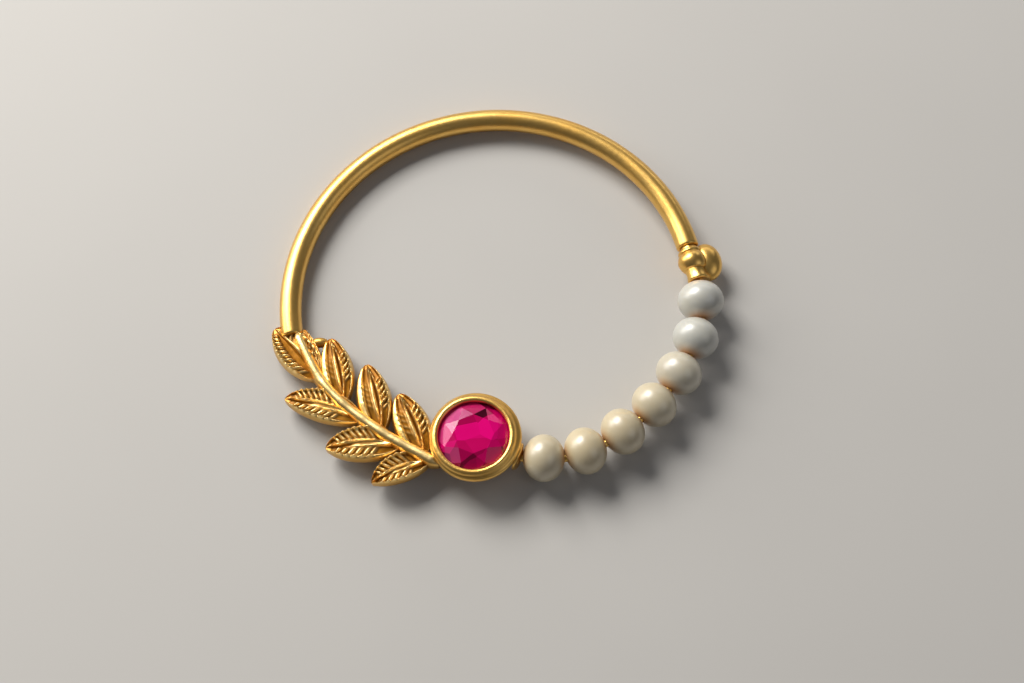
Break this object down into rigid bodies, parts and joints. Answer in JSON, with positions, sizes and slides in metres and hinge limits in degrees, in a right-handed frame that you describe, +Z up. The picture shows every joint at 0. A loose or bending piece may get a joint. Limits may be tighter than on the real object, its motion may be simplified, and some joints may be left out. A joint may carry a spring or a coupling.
{
  "type": "nath nose ring",
  "caption": "Hoop nose ring lying flat: a plain gold wire hoop closed by a cast leaf sprig, a bezel-set round red stone and a strung row of pearls, with a clasp knob at the side.",
  "frame": {"origin": "centre of the bounding box at its bottom, on the ground that the ring lies on", "axes": "+Z up, the ring lying nearly level; +X from the leaf sprig to the clasp; +Y from the bezel to the back of the hoop"},
  "size_m": [0.03, 0.0272, 0.0031],
  "materials": {
    "drawn_gold": "satin yellow gold wire",
    "cast_gold": "satin cast yellow gold, darker in the hollows",
    "polished_gold": "polished yellow gold",
    "ruby_red": "polished facets",
    "pearl_cream": "soft pearl lustre"
  },
  "bodies": {
    "root": {"hoop_wire": "drawn_gold", "leaf_sprig_setting": "cast_gold", "ruby": "ruby_red", "clasp": "polished_gold", "pearl_1": "pearl_cream", "pearl_2": "pearl_cream", "pearl_3": "pearl_cream", "pearl_4": "pearl_cream", "pearl_5": "pearl_cream", "pearl_6": "pearl_cream", "pearl_7": "pearl_cream"}
  },
  "joints": []
}
